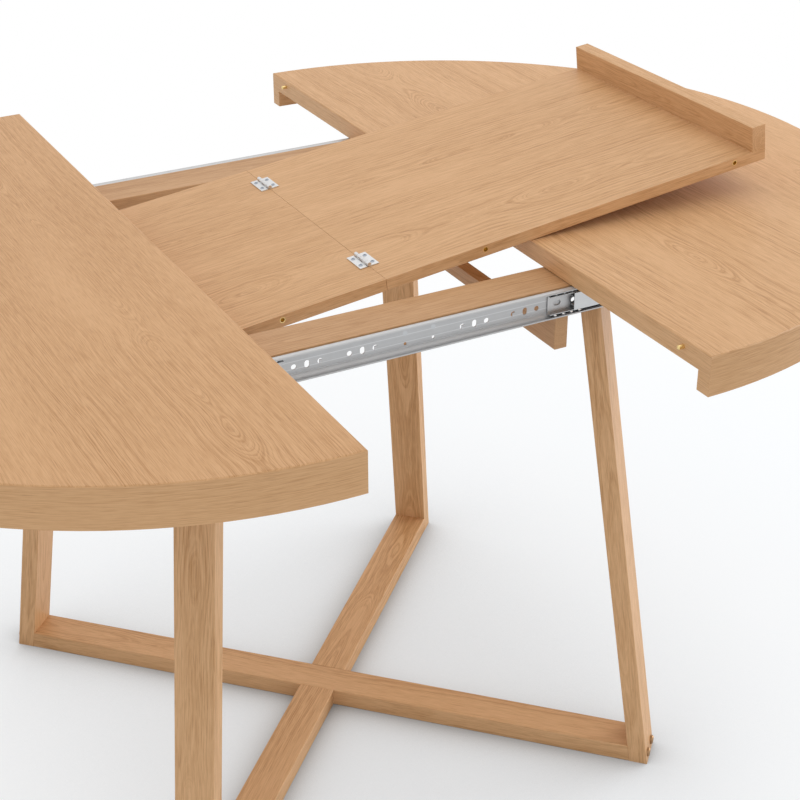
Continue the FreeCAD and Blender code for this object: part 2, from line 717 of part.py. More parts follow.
def make_base():
    """Writes floor bars, legs, bolts, beams, rails and their screws."""
    half_height = BAR_HEIGHT / 2
    export("floor_bar_upper", turned(floor_bar(0, half_height), diagonal(1)))
    export("floor_bar_lower", turned(floor_bar(half_height, BAR_HEIGHT), diagonal(0)))

    all_foot_bolts = []
    all_top_bolts = []
    for quarter, name in enumerate(LEGS):
        angle = diagonal(quarter)
        export(name, turned(leg(), angle))
        all_foot_bolts += [turned(bolt, angle) for bolt in foot_bolts()]
        all_top_bolts += [turned(bolt, angle) for bolt in top_bolts()]
    export("foot_bolts", group(all_foot_bolts))
    export("leg_top_bolts", group(all_top_bolts))

    all_beam_screws = []
    for half_name, half in HALVES.items():
        export("cross_beam_" + half_name, cross_beam(half))
        all_beam_screws += [beam_screw(*place) for place in beam_screw_places(half)]
    export("beam_screws", group(all_beam_screws))

    for side_name, side in SIDES.items():
        blank = box(
            (-RAIL_HALF_LENGTH, RAIL_HALF_LENGTH),
            (side * RAIL_INNER, side * RAIL_OUTER),
            (RAIL_UNDERSIDE, RAIL_TOP),
        )
        blank = eased(blank, 2 * RAIL_HALF_LENGTH)
        held = [slide_screw(side, x) for x in slide_screw_places()]
        export("rail_" + side_name, blank.cut(all_top_bolts + all_beam_screws + held))


# Leaf, built flat with its hinge face at Z 0 and the seam at X 0, then leaned

def leaned(shape):
    """Moves a flat leaf piece to the place where the leaf lies."""
    tilt = math.degrees(LEAF_TILT)
    up_x = -math.sin(LEAF_TILT)
    up_z = math.cos(LEAF_TILT)
    corner = Vector(HALF_OPENING + LEAF_FACE_OFFSET * up_x, 0, TOP_HEIGHT + LEAF_FACE_OFFSET * up_z)
    along = (SEAM_X - corner.x) / math.cos(LEAF_TILT)
    origin = corner + Vector(math.cos(LEAF_TILT), 0, math.sin(LEAF_TILT)) * along
    placed = shape.rotated(Vector(0, 0, 0), Vector(0, 1, 0), -tilt)
    return placed.translated(origin)


def hinge_centres():
    """Places of the two hinges along the seam."""
    return (-HINGE_OFFSET, HINGE_OFFSET)


def hinge_pin_height():
    """Height of the hinge pin over the leaf's face."""
    return HINGE_LIFT + KNUCKLE_RADIUS


def cross_slots(x, y, top):
    """The two crossed slots in the head of a hinge screw."""
    reach = HINGE_SCREW_SLOT / 2
    half_width = HINGE_SCREW_SLOT_WIDTH / 2
    depth = (top - HINGE_SCREW_SLOT_DEPTH, top)
    along = box((x - reach, x + reach), (y - half_width, y + half_width), depth)
    across = box((x - half_width, x + half_width), (y - reach, y + reach), depth)
    return along.fuse(across)


def hinge_screw(x, y):
    """A pan head screw with a crossed slot, through a hinge plate into the leaf."""
    top = HINGE_LIFT + HINGE_SHEET
    head = rod((x, y, top), (0, 0, 1), HINGE_SCREW_HEAD_RADIUS, HINGE_SCREW_HEAD)
    head = tapered_tip(head, (x, y, top + HINGE_SCREW_HEAD), HINGE_SCREW_DOME)
    head = head.cut(cross_slots(x, y, top + HINGE_SCREW_HEAD))
    shank = rod((x, y, top - HINGE_SCREW_LENGTH), (0, 0, 1), HINGE_SCREW_RADIUS, HINGE_SCREW_LENGTH)
    return head.fuse(shank)


def hinge_screws(half):
    """The four screws of one leaf half."""
    x = half * (HINGE_HALF_WIDTH - HINGE_SCREW_INSET)
    return [
        hinge_screw(x, centre + sign * HINGE_SCREW_PITCH / 2)
        for centre in hinge_centres()
        for sign in (-1, 1)
    ]


def hinge_plate(half, centre):
    """One plate with its knuckles: outer ones right, the two between left."""
    start = centre - HINGE_LENGTH / 2
    pitch = HINGE_LENGTH / KNUCKLE_COUNT
    height = hinge_pin_height()
    low = HINGE_LIFT
    plate = box(
        (0, half * HINGE_HALF_WIDTH),
        (start, start + HINGE_LENGTH),
        (low, low + HINGE_SHEET),
    )
    cutters = []
    for number in range(KNUCKLE_COUNT):
        first = start + number * pitch
        owner = 1 if number % 2 == 0 else -1
        if owner == half:
            knuckle = rod(
                (0, first + KNUCKLE_PLAY / 2, height), (0, 1, 0),
                KNUCKLE_RADIUS, pitch - KNUCKLE_PLAY,
            )
            plate = plate.fuse(knuckle)
        else:
            cutters.append(box(
                (0, half * (KNUCKLE_RADIUS + KNUCKLE_PLAY)),
                (first - KNUCKLE_PLAY / 2, first + pitch + KNUCKLE_PLAY / 2),
                (low, low + HINGE_SHEET),
            ))
    bore = HINGE_PIN_RADIUS + HINGE_PIN_PLAY
    cutters.append(rod((0, start, height), (0, 1, 0), bore, HINGE_LENGTH))
    return plate.cut(cutters + hinge_screws(half))


def hinge_pin(centre):
    """The pin of one hinge."""
    start = (0, centre - HINGE_LENGTH / 2, hinge_pin_height())
    return rod(start, (0, 1, 0), HINGE_PIN_RADIUS, HINGE_LENGTH)


def leaf_rows(half):
    """Places along the leaf of the pins and sockets of one half."""
    return [half * PIN_INNER_Y, half * PIN_OUTER_Y]


def leaf_fitting_level():
    """Height of pins and sockets, the same below the top as in the half tops."""
    return PIN_DROP - LEAF_THICKNESS


def leaf_sockets(half):
    """Sockets in the front long edge of one half."""
    edge = -LEAF_WIDTH / 2
    return [socket((x, edge, leaf_fitting_level()), (0, 1, 0)) for x in leaf_rows(half)]


def leaf_pins(half):
    """Pins in the back long edge of one half."""
    start = LEAF_WIDTH / 2 - PIN_EMBED
    length = PIN_EMBED + PIN_STICK_OUT
    level = leaf_fitting_level()
    pins = []
    for x in leaf_rows(half):
        pin = rod((x, start, level), (0, 1, 0), PIN_RADIUS, length)
        pins.append(tapered_tip(pin, (x, start + length, level), PIN_TIP))
    return pins


def leaf_bores(half):
    """Bores for the pins and sockets of one half."""
    radius = PIN_RADIUS + SOCKET_PLAY + SOCKET_WALL
    edge = -LEAF_WIDTH / 2
    level = leaf_fitting_level()
    return [rod((x, edge, level), (0, 1, 0), radius, PIN_EMBED) for x in leaf_rows(half)]


def make_leaf_half(name, half):
    """Writes board, lip, fittings and hinge pieces of one leaf half."""
    inner = half * SEAM_GAP / 2
    outer = half * TOP_RADIUS
    across = (-LEAF_WIDTH / 2, LEAF_WIDTH / 2)
    board = box((inner, outer), across, (-LEAF_THICKNESS, 0))
    table_face = [e for e in board.Edges if e.CenterOfMass.z < SAME - LEAF_THICKNESS]
    board = board.makeFillet(ARRIS, table_face)
    held = leaf_bores(half) + leaf_pins(half) + hinge_screws(half)
    export("leaf_board_" + name, leaned(board.cut(held)))

    lip = box((outer - half * LEAF_LIP_WIDTH, outer), across, (0, LEAF_LIP_DEPTH))
    crest = [e for e in lip.Edges if e.CenterOfMass.z > LEAF_LIP_DEPTH - SAME]
    export("leaf_lip_" + name, leaned(lip.makeFillet(ARRIS, crest)))
    export("leaf_sockets_" + name, leaned(group(leaf_sockets(half))))
    export("leaf_pins_" + name, leaned(group(leaf_pins(half))))
    plates = [hinge_plate(half, centre) for centre in hinge_centres()]
    export("hinge_plates_" + name, leaned(group(plates)))
    export("hinge_screws_" + name, leaned(group(hinge_screws(half))))


def make_leaf():
    """Writes both leaf halves and the hinge pins between them."""
    for name, half in HALVES.items():
        make_leaf_half(name, half)
    pins = [hinge_pin(centre) for centre in hinge_centres()]
    export("hinge_pins", leaned(group(pins)))


make_base()
make_fixed_channels()
for half_name, half_sign in HALVES.items():
    make_half_top(half_name, half_sign)
    make_moving_slides(half_name, half_sign)
make_leaf()
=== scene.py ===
import logging
import math
from dataclasses import dataclass, replace
from enum import Enum
from typing import Any, Optional, Union

import bpy
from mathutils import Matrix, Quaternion, Vector


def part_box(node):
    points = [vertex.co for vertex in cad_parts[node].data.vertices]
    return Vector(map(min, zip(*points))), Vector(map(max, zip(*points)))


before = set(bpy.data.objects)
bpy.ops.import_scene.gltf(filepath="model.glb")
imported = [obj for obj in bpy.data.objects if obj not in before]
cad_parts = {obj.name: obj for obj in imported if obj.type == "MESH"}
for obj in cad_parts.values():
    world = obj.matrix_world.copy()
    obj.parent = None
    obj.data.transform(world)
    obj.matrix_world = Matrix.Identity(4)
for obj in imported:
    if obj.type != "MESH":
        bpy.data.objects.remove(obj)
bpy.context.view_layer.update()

LOG = logging.getLogger("butterfly_leaf_table")

Colour = tuple[float, float, float]
Triple = tuple[float, float, float]
Span = tuple[float, float]
Feed = Union["Signal", float, int, tuple]
Owner = Union[bpy.types.Material, bpy.types.World]
Lay = tuple["Signal", "Signal", "Signal"]

ALONG_SLIDES: Triple = (1.0, 0.0, 0.0)
ALONG_CUT: Triple = (0.0, 1.0, 0.0)
UPWARD: Triple = (0.0, 0.0, 1.0)
NOISE_MIDDLE = 0.5


class Signal:
    """One output socket. Arithmetic on it adds nodes to its tree."""

    def __init__(self, tree: "ShaderTree", socket: bpy.types.NodeSocket) -> None:
        """Keeps the tree and the socket.

        Args:
            tree: The tree that the socket's node is in.
            socket: The output socket.
        """
        self.tree = tree
        self.socket = socket

    def __add__(self, other: Feed) -> "Signal":
        """Adds."""
        return self.tree.arithmetic("ADD", self, other)

    def __radd__(self, other: Feed) -> "Signal":
        """Adds, from the right."""
        return self.tree.arithmetic("ADD", other, self)

    def __sub__(self, other: Feed) -> "Signal":
        """Subtracts."""
        return self.tree.arithmetic("SUBTRACT", self, other)

    def __rsub__(self, other: Feed) -> "Signal":
        """Subtracts this from another."""
        return self.tree.arithmetic("SUBTRACT", other, self)

    def __mul__(self, other: Feed) -> "Signal":
        """Multiplies."""
        return self.tree.arithmetic("MULTIPLY", self, other)

    def __rmul__(self, other: Feed) -> "Signal":
        """Multiplies, from the right."""
        return self.tree.arithmetic("MULTIPLY", other, self)

    def __truediv__(self, other: Feed) -> "Signal":
        """Divides."""
        return self.tree.arithmetic("DIVIDE", self, other)

    def __rtruediv__(self, other: Feed) -> "Signal":
        """Divides another by this."""
        return self.tree.arithmetic("DIVIDE", other, self)

    def __pow__(self, other: Feed) -> "Signal":
        """Raises to a power."""
        return self.tree.arithmetic("POWER", self, other)

    def __rpow__(self, other: Feed) -> "Signal":
        """Raises another to this power."""
        return self.tree.arithmetic("POWER", other, self)

    def __abs__(self) -> "Signal":
        """Drops the sign."""
        return self.tree.node("ShaderNodeMath", {"operation": "ABSOLUTE"}, {0: self})

    def fract(self) -> "Signal":
        """Keeps the part after the point."""
        return self.tree.node("ShaderNodeMath", {"operation": "FRACT"}, {0: self})

    def swing(self) -> "Signal":
        """Centres a noise on 0."""
        return self - NOISE_MIDDLE

    def wrapped(self, period: float) -> "Signal":
        """Cuts a length into strips and measures from the middle of each."""
        return ((self / period + 0.5).fract() - 0.5) * period

    def above(self, level: float) -> "Signal":
        """Gives 1 over a level and 0 under it."""
        return self.tree.node("ShaderNodeMath", {"operation": "GREATER_THAN"}, {0: self, 1: level})

    def dot(self, direction: Triple) -> "Signal":
        """Measures this vector along a direction."""
        settings = {"operation": "DOT_PRODUCT"}
        return self.tree.node("ShaderNodeVectorMath", settings, {0: self, 1: direction}, "Value")

    def step(self, low: float, high: float) -> "Signal":
        """Rises smoothly from 0 at low to 1 at high.

        Args:
            low: Where the rise starts.
            high: Where it ends.

        Returns:
            A value from 0 to 1.
        """
        settings = {"interpolation_type": "SMOOTHSTEP"}
        sockets = {"Value": self, "From Min": low, "From Max": high}
        return self.tree.node("ShaderNodeMapRange", settings, sockets)


class ShaderTree:
    """Builds the nodes of one material or world from Python expressions."""

    def __init__(self, owner: Owner, shader: str) -> None:
        """Takes hold of a new material or world.

        Args:
            owner: The material or world.
            shader: The name of the shader node that it starts with.
        """
        owner.use_nodes = True
        self.owner = owner
        self.tree = owner.node_tree
        self.shader = self.tree.nodes[shader]

    @classmethod
    def of_material(cls, name: str) -> "ShaderTree":
        """Starts a material with a plain Principled shader."""
        return cls(bpy.data.materials.new(name), "Principled BSDF")

    @classmethod
    def of_world(cls, name: str) -> "ShaderTree":
        """Starts a world with a plain background."""
        return cls(bpy.data.worlds.new(name), "Background")

    def feed(self, socket: bpy.types.NodeSocket, value: Feed) -> None:
        """Links a signal to an input socket, or sets its value.

        Args:
            socket: The input socket.
            value: A signal, a number, or a colour or vector.
        """
        if isinstance(value, Signal):
            self.tree.links.new(value.socket, socket)
        elif socket.type == "RGBA":
            socket.default_value = (*value[:3], 1.0)
        elif socket.type == "VECTOR" and isinstance(value, (int, float)):
            socket.default_value = (value, value, value)
        else:
            socket.default_value = value

    def node(
        self,
        kind: str,
        settings: Optional[dict[str, Any]] = None,
        sockets: Optional[dict[Union[str, int], Feed]] = None,
        output: Union[str, int] = 0,
    ) -> Signal:
        """Adds a node of any type.

        Args:
            kind: The node's type.
            settings: Its own settings, which are set before its sockets.
            sockets: Values or signals of its inputs.
            output: The output that is wanted.

        Returns:
            That output.
        """
        made = self.tree.nodes.new(kind)
        for name, setting in (settings or {}).items():
            setattr(made, name, setting)
        for key, value in (sockets or {}).items():
            self.feed(made.inputs[key], value)
        return Signal(self, made.outputs[output])

    def arithmetic(self, operation: str, first: Feed, second: Feed) -> Signal:
        """Adds a Math node, or a Vector Math node where a vector takes part.

        Args:
            operation: The node's operation.
            first: Its first operand.
            second: Its second operand.

        Returns:
            The result.
        """
        kinds = [f.socket.type for f in (first, second) if isinstance(f, Signal)]
        kind = "ShaderNodeVectorMath" if "VECTOR" in kinds else "ShaderNodeMath"
        return self.node(kind, {"operation": operation}, {0: first, 1: second})

    def place(self) -> Signal:
        """Gives the point in the part's own frame, in metres."""
        return self.node("ShaderNodeTexCoord", output="Object")

    def facing(self) -> Signal:
        """Gives the surface's own normal, in the part's frame."""
        return self.node("ShaderNodeTexCoord", output="Normal")

    def point(self, x: Feed, y: Feed, z: Feed) -> Signal:
        """Joins three values into a vector."""
        return self.node("ShaderNodeCombineXYZ", sockets={0: x, 1: y, 2: z})

    def noise(self, where: Signal, detail: float = 2.0, rough: float = 0.5) -> Signal:
        """Adds smooth noise of unit size.

        Args:
            where: The point to read the noise at.
            detail: How many finer layers it has.
            rough: How strong those are.

        Returns:
            A value around 0.5.
        """
        sockets = {"Vector": where, "Scale": 1.0, "Detail": detail, "Roughness": rough}
        return self.node("ShaderNodeTexNoise", {"noise_dimensions": "3D"}, sockets)

    def blend(self, first: Feed, second: Feed, factor: Feed) -> Signal:
        """Mixes two colours.

        The node has sockets of the same name for each type of data, so these go by number.

        Args:
            first: The colour at factor 0.
            second: The colour at factor 1.
            factor: The share of the second.

        Returns:
            The mixed colour.
        """
        settings = {"data_type": "RGBA", "clamp_factor": True}
        return self.node("ShaderNodeMix", settings, {0: factor, 6: first, 7: second}, 2)

    def choose(self, first: Signal, second: Signal, factor: Signal) -> Signal:
        """Goes from one value to another as factor goes from 0 to 1."""
        return first + (second - first) * factor

    def bump(self, height: Signal, strength: float, distance: float) -> Signal:
        """Turns a height into a normal.

        Args:
            height: The height, from 0 to 1.
            strength: How much of it shows.
            distance: The height of 1, in metres.

        Returns:
            The normal.
        """
        sockets = {"Strength": strength, "Distance": distance, "Height": height}
        return self.node("ShaderNodeBump", sockets=sockets)

    def seen(self) -> Signal:
        """Gives 1 where the camera sees a point, straight or in gloss or glass, and else 0."""
        rays = ("Is Camera Ray", "Is Glossy Ray", "Is Transmission Ray")
        camera, gloss, glass = (self.node("ShaderNodeLightPath", output=ray) for ray in rays)
        return camera + gloss + glass

    def finish(self, **sockets: Feed) -> Owner:
        """Feeds the shader and gives what it belongs to.

        Args:
            sockets: Values or signals, named as the shader's sockets with underscores.

        Returns:
            The finished material or world.
        """
        for name, value in sockets.items():
            self.feed(self.shader.inputs[name.replace("_", " ")], value)
        return self.owner


class GrainLay(Enum):
    """Which way the grain of a board runs, and which way its width lies."""

    ALONG_X = (ALONG_SLIDES, ALONG_CUT)
    ALONG_Y = (ALONG_CUT, ALONG_SLIDES)

    @property
    def axes(self) -> tuple[Vector, Vector]:
        """Gives the two directions as vectors."""
        return Vector(self.value[0]), Vector(self.value[1])


class Side(Enum):
    """The two long sides of the table, each with a rail and a slide."""

    FRONT = "front"
    BACK = "back"


class Half(Enum):
    """The two halves of the top, and of what belongs to it."""

    LEFT = "left"
    RIGHT = "right"

    @property
    def outward(self) -> float:
        """Gives the way out from the middle, as a sign along the slides."""
        return 1.0 if self is Half.RIGHT else -1.0

    @property
    def edge_fitting(self) -> str:
        """Names the brass fittings in the half's cut edge."""
        return "edge_pins" if self is Half.RIGHT else "edge_sockets"


@dataclass(frozen=True)
class Seeds:
    """Numbers that give each piece of a row its own figure."""

    first: float
    step: float

    def of(self, number: int) -> float:
        """Gives the seed of one piece, counted from 0."""
        return self.first + self.step * number


@dataclass(frozen=True)
class Stretch:
    """How fine a noise is along the grain and across it, per metre.

    The seed of a board shifts the noise one way: along run, width or depth.
    """

    run: float
    cross: float
    detail: float = 1.0
    rough: float = 0.5
    shifted: int = 0

    def read(self, tree: ShaderTree, lay: Lay, seed: float) -> Signal:
        """Adds the noise at a point of a board.

        Args:
            tree: The tree of nodes to add to.
            lay: Run, width and depth of the point.
            seed: What tells the board from the others.

        Returns:
            A value around 0.5.
        """
        place = [way * fineness for way, fineness in zip(lay, (self.run, self.cross, self.cross))]
        place[self.shifted] = place[self.shifted] + seed
        return tree.noise(tree.point(*place), self.detail, self.rough)


@dataclass(frozen=True)
class EdgeBand:
    """The veneer band round the edges of a half top, whose lines waver as they go round."""

    middle: float
    outward: float
    radius: float
    waver: float = 0.04
    waver_along: float = 2.0
    waver_up: float = 4.0
    waver_detail: float = 1.0
    flat_facing: float = 0.7
    cut_facing: float = -0.5


@dataclass(frozen=True)
class Board:
    """How a piece of oak lies in its tree: its grain, its face and its heart."""

    along: Vector
    across: Vector
    heart: Vector
    seed: float
    strip: float = 0.30
    bow: float = 0.16
    band: Optional[EdgeBand] = None


@dataclass(frozen=True)
class OakFinish:
    """Lacquered plain sawn oak, with lengths in metres and shares from 0 to 1."""

    light: Colour = (0.698, 0.415, 0.211)
    dark: Colour = (0.420, 0.200, 0.066)
    pore: Colour = (0.300, 0.140, 0.050)
    ground: float = 0.13
    ring: float = 0.0012
    ragged: float = 0.0018
    ragged_noise: Stretch = Stretch(34.0, 120.0, 2.0, 0.55, shifted=2)
    line: float = 0.48
    line_run: float = 0.8
    line_detail: float = 2.0
    line_rough: float = 0.6
    line_span: Span = (0.38, 0.68)
    clear_noise: Stretch = Stretch(2.6, 14.0)
    clear_span: Span = (0.22, 0.62)
    fibre: float = 1.55
    fibre_noise: Stretch = Stretch(28.0, 950.0, 2.0, 0.75, shifted=1)
    tone: float = 0.22
    tone_noise: Stretch = Stretch(1.3, 11.0, 2.0)
    pitting: float = 0.45
    early_pitting: float = 0.35
    pore_noise: Stretch = Stretch(36.0, 1250.0, shifted=2)
    pore_span: Span = (0.57, 0.645)
    drift: float = 0.06
    drift_run: float = 1.4
    drift_width: float = 0.6
    drift_detail: float = 1.0
    bend_run: float = 3.1
    bend_across: float = 3.0
    bend_shift: float = 2.0
    bend_detail: float = 2.0
    # Painted light: how much the upright edges of the tops are lightened.
    band_lift: float = 0.07
    band_calm: float = 0.5
    rim_shade: float = 0.0
    roughness: float = 0.46
    roughness_swing: float = 0.16
    gloss: float = 0.27
    relief: float = 0.12
    relief_height: float = 0.0004
    pore_relief: float = 0.5

    def material(self, name: str, board: Board) -> bpy.types.Material:
        """Makes the oak of one board.

        Args:
            name: The material's name.
            board: How it lies in its tree.

        Returns:
            The material.
        """
        tree = ShaderTree.of_material(name)
        where = tree.place() - tuple(board.heart)
        run = where.dot(tuple(board.along))
        width = where.dot(tuple(board.across))
        depth = where.dot(tuple(board.along.cross(board.across)))
        seed = board.seed
        radius = self.ring_radius(tree, board, (run, width, depth))
        ground: Feed = self.ground
        figure: Feed = 1.0
        if board.band is not None:
            band = board.band
            upright, rim, turn, rise = self.banded(tree, band)
            wave_place = tree.point(turn * band.waver_along, rise * band.waver_up, seed)
            wave = tree.noise(wave_place, band.waver_detail)
            radius = tree.choose(radius, rise + wave * band.waver, upright)
            run = tree.choose(run, turn, upright)
            width = tree.choose(width, rise, upright)
            depth = depth * (1.0 - upright)
            # Painted light lightens the upright edges; rim_shade darkens the round edge.
            ground = ground - upright * self.band_lift + rim * self.rim_shade
            figure = 1.0 - upright * self.band_calm
        lay = (run, width, depth)
        ragged = self.ragged_noise.read(tree, lay, seed)
        phase = (radius + ragged.swing() * self.ragged) / self.ring
        line_place = tree.point(phase, run * self.line_run, seed)
        late = tree.noise(line_place, self.line_detail, self.line_rough)
        clear = self.clear_noise.read(tree, lay, seed).step(*self.clear_span)
        late = late.step(*self.line_span) * clear * figure
        fibre = self.fibre_noise.read(tree, lay, seed)
        tone = self.tone_noise.read(tree, lay, seed)
        shade = late * self.line + fibre.swing() * self.fibre + tone.swing() * self.tone + ground
        colour = tree.blend(self.light, self.dark, shade)
        pores = self.pore_noise.read(tree, lay, seed).step(*self.pore_span)
        pitted = pores * (self.early_pitting + late * (1.0 - self.early_pitting)) * self.pitting
        colour = tree.blend(colour, self.pore, pitted)
        height = fibre * (1.0 - self.pore_relief) + (1.0 - pitted) * self.pore_relief
        return tree.finish(
            Base_Color=colour,
            Roughness=self.roughness + fibre.swing() * self.roughness_swing,
            Specular_IOR_Level=self.gloss,
            Normal=tree.bump(height, self.relief, self.relief_height),
        )

    def ring_radius(self, tree: ShaderTree, board: Board, lay: Lay) -> Signal:
        """Measures how far a point is from the heart of its tree, which bends as it grows.

        Args:
            tree: The tree of nodes to add to.
            board: How the board lies.
            lay: Run, width and depth of the point.

        Returns:
            The distance in metres.
        """
        run, width, depth = lay
        seed = board.seed
        drift_place = tree.point(run * self.drift_run + seed, width * self.drift_width, seed)
        drift = tree.noise(drift_place, self.drift_detail)
        across = (width + drift.swing() * self.drift).wrapped(board.strip)
        bent_run = run * self.bend_run + seed * self.bend_shift
        bent_place = tree.point(bent_run, width * self.bend_across, depth * self.bend_across + seed)
        bend = tree.noise(bent_place, self.bend_detail)
        below = bend.swing() * board.bow + depth
        return (across * across + below * below) ** 0.5

    @staticmethod
    def banded(tree: ShaderTree, band: EdgeBand) -> tuple[Signal, Signal, Signal, Signal]:
        """Finds the upright edges of a half top and measures along them.

        Args:
            tree: The tree to add to.
            band: The band's circle.

        Returns:
            Masks of all edges and of the round one, the way along them and the way up, in metres.
        """
        normal = tree.facing()
        where = tree.place()
        upright = 1.0 - abs(normal.dot(UPWARD)).above(band.flat_facing)
        curved = normal.dot((band.outward, 0.0, 0.0)).above(band.cut_facing)
        out = (where.dot(ALONG_SLIDES) - band.middle) * band.outward
        side = where.dot(ALONG_CUT)
        turn = tree.node("ShaderNodeMath", {"operation": "ARCTAN2"}, {0: side, 1: out})
        along = tree.choose(side, turn * band.radius, curved)
        return upright, upright * curved, along, where.dot(UPWARD)


@dataclass(frozen=True)
class RolledLines:
    """Painted highlight lines along a channel, alike above and below its middle, where its pressed
    ridges would catch the light.
    """

    level: float
    inner: float = 0.0046
    outer: float = 0.0108
    half_width: float = 0.0009
    strength: float = 0.55
    # The pale colour of the painted highlight lines.
    colour: Colour = (0.80, 0.805, 0.81)

    def mask(self, rise: Signal) -> Signal:
        """Finds the painted highlight lines.

        Args:
            rise: The height of the point, in metres.

        Returns:
            The strength of the line at the point, from 0 between the lines.
        """
        off_middle = abs(rise - self.level)
        gap = abs(abs(off_middle - (self.inner + self.outer) / 2) - (self.outer - self.inner) / 2)
        return (1.0 - gap.step(0.0, self.half_width)) * self.strength


@dataclass(frozen=True)
class MetalFinish:
    """A metal whose gloss varies in streaks along its length."""

    colour: Colour
    roughness: float
    streak: float = 0.06
    streak_length: float = 9.0
    streak_width: float = 700.0
    streak_shade: float = 0.7
    blotch: float = 0.04
    blotch_fineness: float = 60.0
    blotch_shade: float = 0.6
    dulling: float = 0.86
    detail: float = 3.0
    metallic: float = 1.0
    rolled: Optional[RolledLines] = None

    def material(self, name: str) -> bpy.types.Material:
        """Makes the metal.

        Args:
            name: The material's name.

        Returns:
            The material.
        """
        tree = ShaderTree.of_material(name)
        where = tree.place()
        run = where.dot(ALONG_SLIDES) * self.streak_length
        out = where.dot(ALONG_CUT) * self.streak_width
        rise = where.dot(UPWARD)
        lines = tree.noise(tree.point(run, out, rise * self.streak_width), self.detail)
        cloud = tree.noise(where * self.blotch_fineness, self.detail)
        dull = tuple(channel * self.dulling for channel in self.colour)
        shade = lines * self.streak_shade + cloud.swing() * self.blotch_shade
        colour = tree.blend(self.colour, dull, shade)
        # Painted highlight lines, blended into the metal's colour.
        if self.rolled is not None:
            colour = tree.blend(colour, self.rolled.colour, self.rolled.mask(rise))
        return tree.finish(
            Base_Color=colour,
            Metallic=self.metallic,
            Roughness=self.roughness + lines.swing() * self.streak + cloud.swing() * self.blotch,
        )


@dataclass(frozen=True)
class CageFinish:
    """Bright balls in a dull sheet cage."""

    ball: Colour = (0.86, 0.87, 0.88)
    sheet: Colour = (0.26, 0.26, 0.27)
    ball_roughness: float = 0.12
    sheet_roughness: float = 0.45
    ball_diameter: float = 0.0046
    sheet_half: float = 0.00024

    def material(self, name: str, cage: str) -> bpy.types.Material:
        """Makes the two metals of one cage, told apart by height.

        Args:
            name: The material's name.
            cage: The node of the cage, whose box tells where its ball rows are.

        Returns:
            The material.
        """
        low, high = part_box(cage)
        row = (high.z - low.z - self.ball_diameter) / 2
        tree = ShaderTree.of_material(name)
        rise = abs(tree.place().dot(UPWARD) - (low.z + high.z) / 2)
        ball = abs(rise - row).above(self.sheet_half)
        return tree.finish(
            Base_Color=tree.blend(self.sheet, self.ball, ball),
            Metallic=1.0,
            Roughness=self.sheet_roughness + ball * (self.ball_roughness - self.sheet_roughness),
        )


def dress(node: str, material: bpy.types.Material) -> None:
    """Gives a CAD node its material.

    Args:
        node: The node's name.
        material: The material that replaces its own.
    """
    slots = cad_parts[node].data.materials
    slots.clear()
    slots.append(material)
    LOG.info("dressed %s in %s", node, material.name)


def middle(node: str) -> Vector:
    """Gives the middle of a CAD node's box."""
    low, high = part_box(node)
    return (low + high) / 2


@dataclass
class Base:
    """Crossed floor bars, leaning legs, rails and cross beams."""

    oak: OakFinish
    # A darker copy of the oak, with painted shade, for the rails and cross beams.
    rail_oak: OakFinish
    bolt: MetalFinish
    screw: MetalFinish
    lean: float = math.radians(8.6)
    strip: float = 0.16
    bow: float = 0.06
    leg_seeds: Seeds = Seeds(3.7, 2.9)
    bar_seeds: Seeds = Seeds(17.3, 4.1)
    rail_seeds: Seeds = Seeds(31.0, 5.3)
    beam_seeds: Seeds = Seeds(43.0, 6.1)

    def board(self, node: str, along: Vector, across: Vector, seed: float) -> Board:
        """Lays a piece in its tree, with the heart along its middle.

        Args:
            node: The piece.
            along: The way its grain runs.
            across: The way its width lies.
            seed: What tells its figure from the other pieces' figure.

        Returns:
            How the piece lies.
        """
        return Board(along, across, middle(node), seed, self.strip, self.bow)

    def diagonal(self, quarter: int) -> Vector:
        """Gives the direction of a leg from the middle, counted in quarter turns."""
        turn = math.pi / 4 + quarter * math.pi / 2
        return Vector((math.cos(turn), math.sin(turn), 0.0))

    def dress_legs(self) -> None:
        """Gives each leg and floor bar grain along its own length."""
        legs = ("leg_back_right", "leg_back_left", "leg_front_left", "leg_front_right")
        up = Vector(UPWARD)
        for quarter, node in enumerate(legs):
            outward = self.diagonal(quarter)
            along = (up * math.cos(self.lean) - outward * math.sin(self.lean)).normalized()
            board = self.board(node, along, up.cross(outward), self.leg_seeds.of(quarter))
            dress(node, self.oak.material(f"oak_{node}", board))
        for quarter, node in enumerate(("floor_bar_lower", "floor_bar_upper")):
            along = self.diagonal(quarter)
            board = self.board(node, along, up.cross(along), self.bar_seeds.of(quarter))
            dress(node, self.oak.material(f"oak_{node}", board))

    def dress_frame(self) -> None:
        """Gives rails, beams and fastenings their finishes."""
        for number, side in enumerate(Side):
            node = f"rail_{side.value}"
            board = self.board(node, *GrainLay.ALONG_X.axes, self.rail_seeds.of(number))
            dress(node, self.rail_oak.material(f"oak_{node}", board))
        for number, half in enumerate(Half):
            node = f"cross_beam_{half.value}"
            board = self.board(node, *GrainLay.ALONG_Y.axes, self.beam_seeds.of(number))
            dress(node, self.rail_oak.material(f"oak_{node}", board))
        bolts = self.bolt.material("bronzed_bolts")
        dress("foot_bolts", bolts)
        screws = self.screw.material("frame_screws")
        for node in ("leg_top_bolts", "beam_screws", "slide_screws"):
            dress(node, screws)

    def build(self) -> None:
        """Dresses the whole base."""
        self.dress_legs()
        self.dress_frame()


